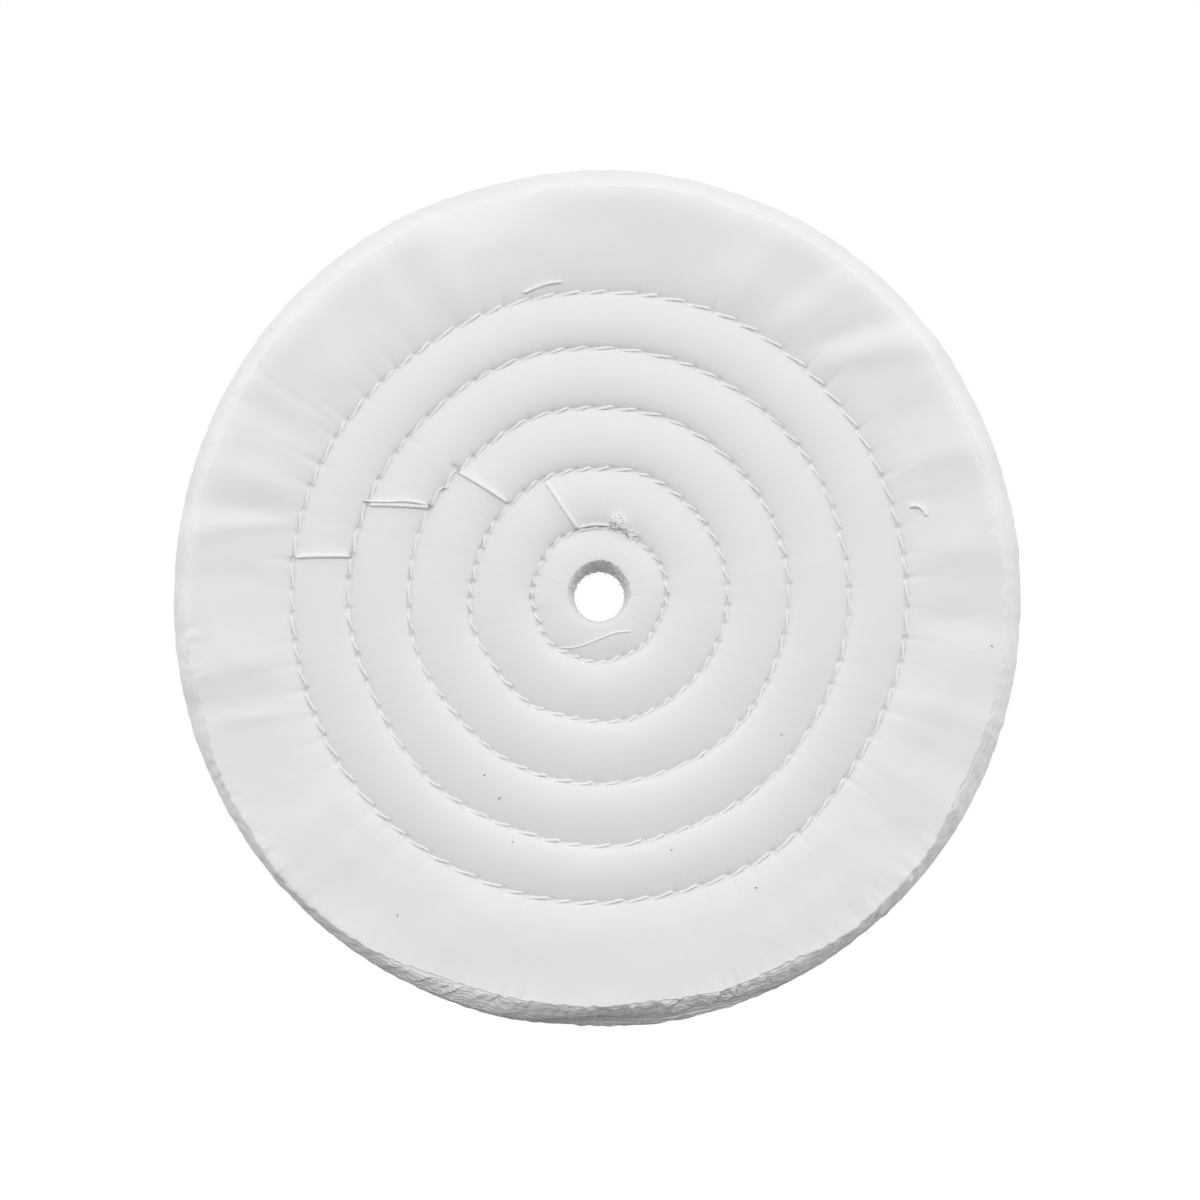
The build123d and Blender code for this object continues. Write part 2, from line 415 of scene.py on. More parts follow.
class Face:
    """What makes one face of the wheel differ from a smooth one, in mm outwards."""

    def __init__(self, folds, slumps, pits, nicks):
        self.folds, self.slumps, self.pits, self.nicks = folds, slumps, pits, nicks
        self.swells = [Crumple(0.24, 34, 9.0), Crumple(0.1, 90, 5.0)]
        self.fine = Crumple(0.02, 420, 1.7)
        self.pleats = [Crumple(0.2, 300, 5.0), Crumple(0.08, 720, 2.5)]
        self.pleating = Wobble(0.35, 2, 14)
        self.pucker_reach = {row: Wobble(0.35, 3, 14) for row in ROWS}
        self.rag = Wobble(0.12, 30, 260)
        self.rag_wide = Wobble(0.25, 3, 24)

    def broad(self, radius, angle):
        """Folds, swells, sags and the flare, which go right through the stack."""
        loose = smooth(ROW_RADII[-1] + 1, ROW_RADII[-1] + 10, radius)
        slack = SEWN_SWELL * np.clip(radius / 50, 0, 1) + MARGIN_SWELL * loose
        height = fold_height(self.folds, radius, angle)
        for swell in self.swells:
            height = height + swell(radius, angle) * slack
        for centre, width, start, drop in self.slumps:
            sag = drop * bell(angle, centre, width)
            height = height - sag * smooth(start, FACE_RADIUS + 1, radius)
        flared = np.clip((radius - SHOULDER) / FLARE_WIDTH, 0, 1.2) ** 2
        return height + FLARE * below(angle) * flared

    def close(self, radius, angle):
        """Puckers that the stitches pull into the cloth, and pleats along its edge."""
        height = self.fine(radius, angle) * np.clip(radius / 70, 0, 1)
        for row in ROWS:
            off = radius - ROW_RADII[row - 1]
            near = np.abs(off) < SEAM_REACH
            if not near.any():
                continue
            gap, pull = nearest_hole(row, angle)
            reach = PUCKER_REACH + self.pucker_reach[row](angle)
            crease = np.exp(-((gap / PUCKER_WIDTH) ** 2))
            crease = crease * np.exp(-np.abs(off) / np.maximum(reach, LEAST_REACH))
            dimple = np.exp(-((gap / DIMPLE_LENGTH) ** 2) - (off / DIMPLE_WIDTH) ** 2)
            deep = pull**2 * (DIMPLE + DIMPLE_AT_SIDES * np.cos(angle) ** 2)
            groove = GROOVE * np.exp(-((off / GROOVE_WIDTH) ** 2))
            pulled = groove + PUCKER * pull * crease + deep * dimple
            height = height - np.where(near, pulled, 0)
            if row == ROWS[-1]:
                beyond = np.exp(-((gap / OUTER_PUCKER_WIDTH) ** 2)) * smooth(-0.5, 1.5, off)
                beyond = beyond * np.exp(-np.clip(off, 0, None) / OUTER_PUCKER_REACH)
                height = height - OUTER_PUCKER * pull**2 * beyond
        for pit_radius, pit_angle, size in self.pits:
            gap = np.radians(away(angle, pit_angle)) * pit_radius
            spot = (gap**2 + (radius - pit_radius) ** 2) / (PIT_RADIUS * size) ** 2
            height = height - PIT_DEPTH * size * np.exp(-spot)
        edge = smooth(FACE_RADIUS - EDGE_PLEATS[0], FACE_RADIUS + EDGE_PLEATS[1], radius)
        pleated = np.clip(0.75 + self.pleating(angle), 0.1, 1.6)
        pleated = pleated * (PLEATED + PLEATED_FRILL * frill(angle))
        curl = np.clip((radius - FACE_RADIUS + EDGE_CURL_WIDTH) / EDGE_CURL_WIDTH, 0, 1.5)
        height = height - EDGE_CURL * (1 - below(angle)) * curl**2
        return height + edge * pleated * sum(pleat(radius, angle) for pleat in self.pleats)

    def edge(self, angle):
        """The cut edge's own radius."""
        nicks = sum(depth * bell(angle, c, w, 4) for c, w, depth in self.nicks)
        return RIM_RADIUS - crown_depth(angle) + self.rag(angle) + self.rag_wide(angle) - nicks


# Where the margin sags back: angle, half-width in degrees, the radius it starts at, and
# how far it drops, or rises if negative.
FRONT_SLUMPS = (
    (107.0, 7.5, 86.0, 3.0),
    (83.0, 11.0, 79.0, -1.6),
    (30.0, 14.0, 93.0, 0.4),
    (130.0, 12.0, 93.0, 0.5),
)
# Needle holes that the crossing threads have pulled open: radius, angle and size.
FRONT_PITS = (
    (46.3, 138.6, 1.0),
    (45.4, 152.6, 0.75),
    (59.9, 158.8, 0.65),
    (73.8, 173.2, 0.7),
    (45.4, 132.4, 0.6),
    (45.2, 126.0, 0.5),
    (30.9, 115.5, 0.5),
)
# Where the cut edge falls short: angle, half-width in degrees, and how far.
FRONT_NICKS = ((10.5, 4.6, 1.1), (21.5, 3.6, 1.0), (71.0, 2.0, 0.6), (101.0, 4.0, 0.7))
front_face = Face(FRONT_FOLDS, FRONT_SLUMPS, FRONT_PITS, FRONT_NICKS)
back_face = Face(random_folds(30), ((60.0, 12.0, 90.0, 0.8),), (), ((300.0, 5.0, 0.9),))
# How fast a face's close detail fades into the stack, and below what share it is left out.
CLOSE_POWER = 8
CLOSE_LEAST = 0.02


def height_of(level, radius, angle):
    """Y, in mm, of a level of the stack: -1 is the front face, 1 the back face."""
    y = level * half_thickness(radius)
    to_front, to_back = (1 - level) / 2, (1 + level) / 2
    y = y - to_front * front_face.broad(radius, angle) + to_back * back_face.broad(radius, angle)
    for side, face, near in ((FRONT, front_face, to_front), (BACK, back_face, to_back)):
        if near**CLOSE_POWER > CLOSE_LEAST:
            y = y + side * near**CLOSE_POWER * face.close(radius, angle)
    return y


# ---- Mesh building ----
def angles(count):
    return np.arange(count) * TURN / count


def stitched_faces(lines, closed):
    """Faces between neighbouring rings of points. One ring may have twice the other's."""
    starts = np.concatenate([[0], np.cumsum([len(line) for line in lines])])
    pairs = [(n, n + 1) for n in range(len(lines) - 1)]
    if closed:
        pairs.append((len(lines) - 1, 0))
    faces = []
    for one, two in pairs:
        a, b = int(starts[one]), int(starts[two])
        na, nb = len(lines[one]), len(lines[two])
        i = np.arange(min(na, nb))
        j = (i + 1) % len(i)
        if na == nb:
            faces.append(np.stack([a + i, b + i, b + j, a + j], 1))
        elif nb == 2 * na:
            last = b + (2 * i + 2) % nb
            faces.append(np.stack([a + i, b + 2 * i, b + 2 * i + 1], 1))
            faces.append(np.stack([a + i, b + 2 * i + 1, a + j], 1))
            faces.append(np.stack([a + j, b + 2 * i + 1, last], 1))
        else:
            last = a + (2 * i + 2) % na
            faces.append(np.stack([a + 2 * i, b + i, a + 2 * i + 1], 1))
            faces.append(np.stack([b + i, b + j, a + 2 * i + 1], 1))
            faces.append(np.stack([b + j, last, a + 2 * i + 1], 1))
    return faces


def add_object(name, data):
    thing = bpy.data.objects.new(name, data)
    bpy.context.scene.collection.objects.link(thing)
    return thing


def make_object(name, points, faces, material):
    """A smooth-shaded mesh from points in mm and arrays of faces, turned outwards."""
    volume = 0.0
    for block in faces:
        for k in range(1, block.shape[1] - 1):
            one, two, three = points[block[:, 0]], points[block[:, k]], points[block[:, k + 1]]
            volume += np.einsum("ij,ij->i", one, np.cross(two, three)).sum()
    if volume < 0:
        faces = [block[:, ::-1] for block in faces]
    sizes = np.concatenate([np.full(len(block), block.shape[1]) for block in faces])
    corners = np.concatenate([block.ravel() for block in faces])
    mesh = bpy.data.meshes.new(name)
    mesh.vertices.add(len(points))
    mesh.vertices.foreach_set("co", (points * MM).ravel())
    mesh.loops.add(len(corners))
    mesh.loops.foreach_set("vertex_index", corners)
    mesh.polygons.add(len(sizes))
    mesh.polygons.foreach_set("loop_start", np.cumsum(sizes) - sizes)
    mesh.polygons.foreach_set("loop_total", sizes)
    mesh.polygons.foreach_set("use_smooth", np.ones(len(sizes), dtype=bool))
    mesh.materials.append(material)
    mesh.update(calc_edges=True)
    mesh.validate()
    return add_object(name, mesh)


def polar(radius, angle, y):
    return np.stack([radius * np.cos(angle), y, radius * np.sin(angle)], 1)


# ---- Cloth plies ----
# How many points a ring has, up to some radius: more on a face ply than on an inner one.
FINE_COUNTS = ((23.3, 360), (52.5, 720), (math.inf, 1440))
PLAIN_COUNTS = ((60.0, 180), (88.0, 360), (math.inf, 720))
# How far the rings of points on both sides of a seam stand from it, how far those of the
# hub stand from the first one there, and how far apart those of the margin are.
SEAM_STEPS = (0.0, 0.22, 0.5, 0.85, 1.35, 2.1, 3.2, 4.7, 6.2)
HUB_STEPS = (0.0, 0.25, 0.6, 1.1, 1.9, 3.0, 4.4, 5.8)
MARGIN_STEP = 1.15


def count_at(radius, counts):
    return next(count for limit, count in counts if radius < limit)


def fine_radii():
    """Where a face ply has its rings of points: close together at the seams and edges."""
    radii = [BORE_RADIUS + 0.5 + step for step in HUB_STEPS]
    radii += [ROW_RADII[0] - step for step in reversed(SEAM_STEPS[:7]) if step > 0]
    for inner, outer in zip(ROW_RADII, ROW_RADII[1:]):
        radii += [inner + step for step in SEAM_STEPS]
        radii.append((inner + outer) / 2)
        radii += [outer - step for step in reversed(SEAM_STEPS) if step > 0]
    last = ROW_RADII[-1]
    radii += [last + step for step in SEAM_STEPS]
    radii += list(np.arange(last + 7.5, FACE_RADIUS - 4.5, MARGIN_STEP))
    return radii


def plain_radii():
    """Where an inner ply has them."""
    middles = [(a + b) / 2 for a, b in zip(ROW_RADII, ROW_RADII[1:])]
    hub = [BORE_RADIUS + 0.8, 9.0, 12.5]
    return hub + sorted(ROW_RADII + middles) + [79.0, 86.0]


# The rings of points from the last of those to the cut edge, as shares of the way.
EDGE_SHARES = (0.3, 0.55, 0.75, 0.9, 1.0)

# Hollows in the rim, where its plies are bent aside: angle, half-width in degrees, level
# through the thickness, half-width in level, and depth.
RIM_HOLLOWS = (
    (269.0, 6.5, 0.0, 0.45, 1.9),
    (285.0, 6.0, -0.2, 0.3, 0.9),
    (306.0, 5.0, -0.3, 0.3, 0.4),
    (205.0, 10.0, 0.5, 0.3, 0.6),
    (330.0, 9.0, 0.5, 0.3, 0.7),
    (60.0, 12.0, 0.5, 0.3, 0.6),
    (120.0, 9.0, 0.5, 0.3, 0.5),
)
# How far the rim's folds have run askew by the faces, in radians, and how unevenly.
ASKEW = 0.045
ASKEW_WAVE = 0.012
RIM_SHORTEST = 0.4  # how much shorter than its neighbours a ply may have been cut
rim_folds = Crumple(0.1, 230, 1.0)
rim_pleats = Crumple(0.6, 520, 1.0)
rim_streaks = Crumple(0.35, 900, 1.0)

HOLE_TIGHT = 0.25  # how much narrower than the arbor hole it is at its narrowest
HOLE_SQUARE = 0.16  # how far from round it is at the faces
MOUTH = 1.35  # how much wider it is at the faces than halfway through
MOUTH_TOP = 0.5  # and how much more along its top
MOUTH_POWER = 1.4


def mouth(level, angle):
    """How much wider the hole is at a level of the stack."""
    at_face = MOUTH + MOUTH_TOP * np.clip(np.sin(angle), 0, 1) ** 2
    return at_face * abs(level) ** MOUTH_POWER


class Edges:
    """The ragged hole and rim of one ply."""

    def __init__(self, level):
        self.level = level
        self.hole = Wobble(0.09, 3, 40)
        self.rim = Wobble(0.08, 8, 200)
        self.short = rng.uniform(0.0, RIM_SHORTEST)

    def hole_radius(self, angle):
        squarish = HOLE_SQUARE * np.cos(4 * angle + 0.5) * abs(self.level)
        return BORE_RADIUS - HOLE_TIGHT + mouth(self.level, angle) + squarish + self.hole(angle)

    def rim_radius(self, angle):
        """Shorter towards the faces, and bent by folds that run askew across the rim."""
        level = self.level
        drop = crown_depth(angle) * crown(level, angle)
        askew = angle + ASKEW * level + ASKEW_WAVE * np.sin(3 * level + 5 * angle)
        depth = (level + 1) * np.ones_like(angle)
        near_face = smooth(0.3, 0.8, from_crest(level, angle))
        crinkled = rim_pleats(depth, askew) + rim_streaks(depth, askew)
        bent = rim_folds(depth / 2, askew) + near_face * frill(angle) * crinkled
        for centre, width, middle, spread, hollow in RIM_HOLLOWS:
            spot = (away(angle, centre) / width) ** 2 + ((level - middle) / spread) ** 2
            bent = bent - hollow * np.exp(-spot)
        return RIM_RADIUS - self.short - drop + bent + self.rim(angle)


HOLE_BLEND = 5  # how far out the hole's raggedness reaches into a ply
HOLE_ROLL = 0.3  # the width of the rolled edge round the hole
BURIED_ROOM = 0.08  # how much nearer mid-thickness a ply lies where it can't be seen
BURIED_FROM = (9, 14)
BURIED_TO = (84, 92)


def ring_at(level, cloth, around):
    """Points at a level of the stack and at cloth radii."""
    return polar(true_radius(cloth, around), around, height_of(level, cloth, around))


def ply_lines(radii, counts, edges, level, rim, room=BURIED_ROOM):
    """One side of a ply from the hole to the rim, as rings of points."""
    start = radii[0]
    around = angles(count_at(start, counts))
    hole = edges.hole_radius(around)
    lines = [polar(hole, around, height_of(level, np.maximum(hole, BORE_RADIUS), around))]
    for radius in radii:
        around = angles(count_at(radius, counts))
        near_hole = 1 - smooth(start, start + HOLE_BLEND, radius)
        cloth = radius + (edges.hole_radius(around) + HOLE_ROLL - start) * near_hole
        lines.append(ring_at(level * (1 - room * buried(radius)), cloth, around))
    around = angles(count_at(FACE_RADIUS, counts))
    edge = rim(around)
    for share in EDGE_SHARES:
        held = share + (1 - share) * CRISPNESS * crisp(around)
        lines.append(ring_at(level, radii[-1] + held * (edge - radii[-1]), around))
    return lines


def buried(radius):
    """1 where an inner ply is hidden deep inside the stack, 0 at its visible edges."""
    return float(smooth(*BURIED_FROM, radius) * (1 - smooth(*BURIED_TO, radius)))


CLOTH_SHARE = 0.9  # the share of a ply's room that its cloth fills
WEAVE_TURNS = 3.1  # the most that an inner ply's weave is turned, in radians


def cloth_ply(index, material):
    """One ply as a closed sheet. The stack's levels run from -1 in front to 1 behind."""
    step = 2 / (PLY_COUNT - 1 + CLOTH_SHARE)
    low = -1 + index * step
    high = low + CLOTH_SHARE * step
    edges = Edges((low + high) / 2)
    if index in (0, PLY_COUNT - 1):
        face = front_face if index == 0 else back_face
        outer, inner = (low, high) if index == 0 else (high, low)
        top = ply_lines(fine_radii(), FINE_COUNTS, edges, outer, face.edge, room=0.0)
        under = ply_lines(fine_radii()[::3], FINE_COUNTS, edges, inner, face.edge, room=0.0)
    else:
        top = ply_lines(plain_radii(), PLAIN_COUNTS, edges, low, edges.rim_radius)
        under = ply_lines(plain_radii(), PLAIN_COUNTS, edges, high, edges.rim_radius)
    lines = top + under[::-1]
    points, faces = np.concatenate(lines), stitched_faces(lines, True)
    piece = make_object(PLY_NODES[index] + "_cloth", points, faces, material)
    piece["weave_turn"] = float(rng.uniform(0, WEAVE_TURNS)) if index else 0.0
    return piece


# ---- Thread ----
def smooth_path(points, rounds):
    """Corner cutting, which keeps both ends."""
    for _ in range(rounds):
        near = points[:-1] * 0.75 + points[1:] * 0.25
        far = points[:-1] * 0.25 + points[1:] * 0.75
        cut = np.empty((2 * len(near), 3))
        cut[0::2], cut[1::2] = near, far
        points = np.concatenate([points[:1], cut, points[-1:]])
    return points


SPIN_PITCH = 1.6  # the length of thread over which its plies turn once
SPIN_GROOVE = 0.16  # the depth of the grooves between them, as a share of its radius
ASLANT = (0.31, 0.87, 0.38)  # a direction along which no thread starts


def spun_tube(path, radius, sides=8, lobes=0, taper=None):
    """A thread along a path: points and faces. Lobes twist round it like spun plies."""
    tangent = np.gradient(path, axis=0)
    tangent /= np.linalg.norm(tangent, axis=1)[:, None]
    length = np.concatenate([[0], np.cumsum(np.linalg.norm(np.diff(path, axis=0), axis=1))])
    around = angles(sides)
    lines = []
    side = np.cross(tangent[0], ASLANT)
    side /= np.linalg.norm(side)
    for n, heading in enumerate(tangent):
        side = side - heading * (side @ heading)
        side /= np.linalg.norm(side)
        other = np.cross(heading, side)
        size = np.full(sides, radius * (1 if taper is None else taper[n]))
        turn = around
        if lobes:
            size = size * (1 + SPIN_GROOVE * np.cos(lobes * around))
            turn = around + TURN * length[n] / SPIN_PITCH
        ring = np.outer(size * np.cos(turn), side) + np.outer(size * np.sin(turn), other)
        lines.append(path[n] + ring)
    faces = stitched_faces(lines, False)
    last = sides * (len(lines) - 1)
    faces.append(np.arange(sides)[None, ::-1])
    faces.append(np.arange(last, last + sides)[None, :])
    return np.concatenate(lines), faces


def join_parts(parts):
    """Several (points, faces) as one."""
    points, faces, offset = [], [], 0
    for part_points, part_faces in parts:
        points.append(part_points)
        faces += [block + offset for block in part_faces]
        offset += len(part_points)
    return np.concatenate(points), faces


# Where a stitch runs, as shares of its length, and how high it lies on the seam there.
STITCH_SHAPE = ((0.03, -0.3), (0.15, 0.1), (0.5, 0.25), (0.85, 0.1), (0.97, -0.3))


def row_thread(row, side):
    """The stitches of one row on one face, with their loops through the cloth."""
    holes = HOLES[row]
    count = len(holes)
    base = ROW_RADII[row - 1]
    seam_y = side * HALF_AT_SEAM
    points = []
    slack = rng.uniform(*SLACK, count)
    for n in range(count):
        a, b = holes[n], holes[(n + 1) % count]
        if b < a:
            b += TURN
        lean = LOCK * (0.9 + slack[n]) * (1 if side == FRONT else -1)
        start_a, end_b = a + LOCK / base, b - LOCK / base
        points.append(ring_point(base + lean, start_a, side * LEG_HEIGHT))
        for share, lift in STITCH_SHAPE:
            angle = start_a + (end_b - start_a) * share
            radius = base + lean * (1 - 2 * share)
            points.append(ring_point(radius, angle, seam_y + side * (lift + slack[n])))
        points.append(ring_point(base - lean, end_b, side * LEG_HEIGHT))
        if n < count - 1:
            points.append(ring_point(base, b, -side * LOOP_REACH))
    return smooth_path(np.array(points), 2)


def ring_point(radius, angle, y):
    """A point at a cloth radius."""
    real = true_radius(np.array([radius]), np.array([angle]))[0]
    return (real * math.cos(angle), y, real * math.sin(angle))


def finish_piece(piece, nodes=()):
    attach(piece, "root")
    if nodes:
        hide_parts(*nodes)


def thread_piece(name, parts, nodes=()):
    """One piece of cotton thread from several (points, faces)."""
    finish_piece(make_object(name, *join_parts(parts), thread), nodes)


# ---- Materials ----
def feed(tree, node, inputs):
    """Set a node's inputs: each to a value, or to a (node, output) that it is linked from."""
    for entry, value in inputs.items():
        if isinstance(value, tuple) and isinstance(value[0], bpy.types.Node):
            source, output = value
            tree.links.new(source.outputs[output], node.inputs[entry])
        else:
            node.inputs[entry].default_value = value


def add_node(tree, kind, inputs, **settings):
    node = tree.nodes.new("ShaderNode" + kind)
    for setting, value in settings.items():
        setattr(node, setting, value)
    feed(tree, node, inputs)
    return node


def add_math(tree, operation, *inputs):
    return add_node(tree, "Math", dict(enumerate(inputs)), operation=operation), "Value"


def add_ramp(tree, source, stops):
    """A colour ramp over a source, from (position, colour) stops."""
    ramp = add_node(tree, "ValToRGB", {"Fac": source})
    elements = ramp.color_ramp.elements
    while len(elements) < len(stops):
        elements.new(0.5)
    for element, (position, colour) in zip(elements, stops):
        element.position = position
        element.color = (*colour, 1)
    return ramp, "Color"


def add_bump(tree, height, strength, distance):
    inputs = {"Strength": strength, "Distance": distance, "Height": height}
    return add_node(tree, "Bump", inputs), "Normal"


def add_range(tree, source, low, high):
    """A source from 0 to 1, moved to the range from low to high."""
    return add_node(tree, "MapRange", {"Value": source, "To Min": low, "To Max": high}), "Result"


def add_noise(tree, place, scale, detail):
    return add_node(tree, "TexNoise", {"Vector": place, "Scale": scale, "Detail": detail})


def grey(level):
    return (level, level, level)


def new_material(name):
    """A material with its node tree and its shader."""
    material = bpy.data.materials.new(name)
    material.use_nodes = True
    tree = material.node_tree
    return material, tree, tree.nodes["Principled BSDF"]


WEAVE_PERIOD = 0.00036  # metres from one yarn to the next
WAVE_SCALE = TURN / 20 / WEAVE_PERIOD  # a wave texture of scale 1 has 20 / TURN waves in a metre
# The slubs' noise, stretched along each way of the weave.
SLUB_SCALES = ((900.0, 900.0, 45.0), (45.0, 900.0, 900.0))


def cloth_material():
    """Bleached plain-weave cotton: yarns both ways, slubs, and soft variation in tone."""
    material, tree, shader = new_material("cotton_cloth")
    place = (add_node(tree, "TexCoord", {}), "Object")
    turn = add_node(tree, "Attribute", {}, attribute_type="OBJECT", attribute_name="weave_turn")
    turning = {"Vector": place, "Angle": (turn, "Fac")}
    turned = (add_node(tree, "VectorRotate", turning, rotation_type="Y_AXIS"), "Vector")
    warp = add_noise(tree, turned, 70.0, 2.0)
    drifting = {0: (warp, "Color"), 1: (0.0012, 0.0, 0.0012), 2: turned}
    drift = add_node(tree, "VectorMath", drifting, operation="MULTIPLY_ADD")
    waving = {"Vector": (drift, "Vector"), "Scale": WAVE_SCALE, "Distortion": 0.0}
    bands = {"wave_type": "BANDS", "wave_profile": "SIN"}
    yarns = [
        (add_node(tree, "TexWave", waving, bands_direction=way, **bands), "Fac")
        for way in ("X", "Z")
    ]
    slubs = []
    for stretch in SLUB_SCALES:
        scaled = add_node(tree, "Mapping", {"Vector": turned, "Scale": stretch})
        slubs.append((add_noise(tree, (scaled, "Vector"), 1.0, 2.0), "Fac"))
    weave = add_math(tree, "MULTIPLY", *yarns)
    streaks = add_math(tree, "ADD", *slubs)
    height = add_math(tree, "MULTIPLY_ADD", streaks, 0.2, weave)
    mottle = (add_noise(tree, place, 55.0, 4.0), "Fac")
    blend = add_math(tree, "MULTIPLY_ADD", streaks, 0.08, mottle)
    inputs = {
        "Normal": add_bump(tree, height, 0.12, 0.00006),
        "Base Color": add_ramp(tree, blend, ((0.3, grey(0.832)), (0.9, grey(0.858)))),
        "Roughness": add_range(tree, mottle, 0.82, 0.96),
        "Specular IOR Level": 0.2,
        "Sheen Weight": 0.15,
        "Sheen Roughness": 0.5,
    }
    feed(tree, shader, inputs)
    return material


def thread_material():
    """Twisted cotton sewing thread, a little lighter than the cloth."""
    material, tree, shader = new_material("cotton_thread")
    fuzz = (add_noise(tree, (add_node(tree, "TexCoord", {}), "Object"), 1600.0, 3.0), "Fac")
    inputs = {
        "Normal": add_bump(tree, fuzz, 0.25, 0.00006),
        "Base Color": add_ramp(tree, fuzz, ((0.3, grey(0.86)), (0.75, grey(0.95)))),
        "Roughness": add_range(tree, fuzz, 0.75, 0.95),
        "Specular IOR Level": 0.2,
        "Sheen Weight": 0.2,
    }
    feed(tree, shader, inputs)
    return material


def husk_material():
    """Dry brownish-grey seed husk."""
    material, tree, shader = new_material("husk")
    grain = (add_node(tree, "TexNoise", {"Scale": 2500.0}), "Fac")
    inputs = {
        "Normal": add_bump(tree, grain, 0.4, 0.00005),
        "Base Color": add_ramp(tree, grain, ((0.0, (0.26, 0.24, 0.21)), (1.0, (0.44, 0.41, 0.37)))),
        "Roughness": 0.8,
    }
    feed(tree, shader, inputs)
    return material


cloth = cloth_material()
thread = thread_material()

# ---- The plies ----
for index, node in enumerate(PLY_NODES):
    piece = cloth_ply(index, cloth)
    finish_piece(piece, [node])

# ---- The stitches ----
for row in ROWS:
    for kind, side in (("needle", FRONT), ("bobbin", BACK)):
        tube = spun_tube(row_thread(row, side), THREAD / 2)
        thread_piece(f"{kind}_stitches_row_{row}", [tube], [f"{kind}_thread_row_{row}"])

# Crossings from row to row: the row and angle that each leaves, and those it reaches.
CROSSINGS = (
    (5, 173.0, 4, 171.2),
    (4, 158.8, 3, 152.6),
    (3, 138.8, 2, 134.6),
    (2, 115.6, 1, 108.0),
)
CROSSING_RADIUS = 0.42
CROSSING_POINTS = 41
# How deep a crossing thread dives at its ends, below the face.
DIVE = (2.2, 1.1, 0.3)
# How tight a thread is drawn: the more, the longer the dips that it bridges.
CROSSING_TIGHTNESS = 60
LOOSE_TIGHTNESS = 80


def drawn_tight(surface, tightness):
    """Heights of a thread along a surface, which it follows over humps but not into dips."""
    tight = surface.copy()
    for _ in range(tightness):
        tight[1:-1] = np.maximum(surface[1:-1], (tight[:-2] + tight[2:]) / 2)
    return tight


def face_height(path, side):
    """How far a face lies from mid-thickness along a path."""
    radius = np.hypot(path[:, 0], path[:, 2])
    angle = np.arctan2(path[:, 2], path[:, 0])
    return side * height_of(float(side), radius, angle)


def outwards(angle):
    return np.array([math.cos(angle), 0.0, math.sin(angle)])


def crossing_path(crossing, side):
    """A thread pulled tight across the bulge between two rows."""
    leave_row, leave_angle, reach_row, reach_angle = crossing
    start = ROW_RADII[leave_row - 1] * outwards(math.radians(leave_angle))
    end = ROW_RADII[reach_row - 1] * outwards(math.radians(reach_angle))
    path = start + np.outer(np.linspace(0, 1, CROSSING_POINTS), end - start)
    surface = face_height(path, side)
    tight = drawn_tight(surface + (CROSSING_RADIUS + 0.02), CROSSING_TIGHTNESS)
    for n, depth in enumerate(DIVE):
        tight[n] = surface[n] - depth
        tight[-1 - n] = surface[-1 - n] - depth
    path[:, 1] = side * tight
    return smooth_path(path, 1)


for crossing in CROSSINGS:
    node = f"needle_thread_jump_{crossing[0]}_to_{crossing[2]}"
    tube = spun_tube(crossing_path(crossing, FRONT), CROSSING_RADIUS, 12, 3)
    thread_piece(node + "_thread", [tube], [node])
back_tubes = [spun_tube(crossing_path(crossing, BACK), THREAD / 2, 12, 3) for crossing in CROSSINGS]
thread_piece("bobbin_crossings", back_tubes, ["bobbin_thread_jumps"])


# ---- Loose threads and frayed yarns ----
def laid_path(places, lift, rounds=5):
    """A loose thread over the front face, through (x, z) places in mm, lying on it."""
    path = smooth_path(np.array([(x, 0.0, z) for x, z in places]), rounds)
    path[:, 1] = -drawn_tight(face_height(path, FRONT), LOOSE_TIGHTNESS) - lift
    return path


def along_row(row, start, end, inset, count=6):
    """Places along a row, by degrees, for a strand that lies beside its stitches."""
    turn = np.radians(np.linspace(start, end, count))
    base = ROW_RADII[row - 1] - inset
    return [(base * math.cos(a), base * math.sin(a)) for a in turn]


def tapered(count, tip):
    """Full width along a thread, thinning to a share of it at both ends."""
    share = np.linspace(0, 1, count)
    return tip + (1 - tip) * np.clip(np.minimum(share, 1 - share) * 8, 0, 1)


def loose_strand(places, lift, radius):
    path = laid_path(places, lift)
    return spun_tube(path, radius, 9, 3, taper=tapered(len(path), 0.35))


HUB_TAIL = ((-9.7, -12.7), (-7.0, -12.9), (-3.8, -12.3), (0.2, -10.7), (3.8, -9.2), (7.9, -8.9))
START_TAIL = ((-18.2, 72.9), (-15.5, 74.1), (-12.0, 75.3), (-9.0, 75.6))
NUB = ((74.3, 21.0), (75.6, 21.3), (77.4, 20.4), (78.3, 18.7))
SECOND_STRAND = ((-56.3, 22.6), (-51.0, 22.1), (-46.0, 22.4), (-41.4, 21.6))
ROW_3_LOOP = ((-40.4, 21.0), (-39.3, 23.4), (-37.6, 26.2), (-36.0, 25.4), (-36.5, 27.6), (-34.3, 30.0))
# Strands without a node of their own: places, lift from the face, and radius.
STRANDS = (
    (NUB, 0.5, 0.42),
    (SECOND_STRAND, 0.42, 0.3),
    (ROW_3_LOOP, 0.3, 0.3),
    (along_row(1, 108, 80, -0.7), 0.4, 0.34),
    (along_row(1, 107, 82, 0.05), 0.55, 0.3),
)

thread_piece("start_tail_thread", [loose_strand(START_TAIL, 0.35, 0.34)], ["needle_thread_start_tail"])
thread_piece("hub_tail_thread", [loose_strand(HUB_TAIL, 0.16, 0.18)])
thread_piece("loose_strands", [loose_strand(*strand) for strand in STRANDS])

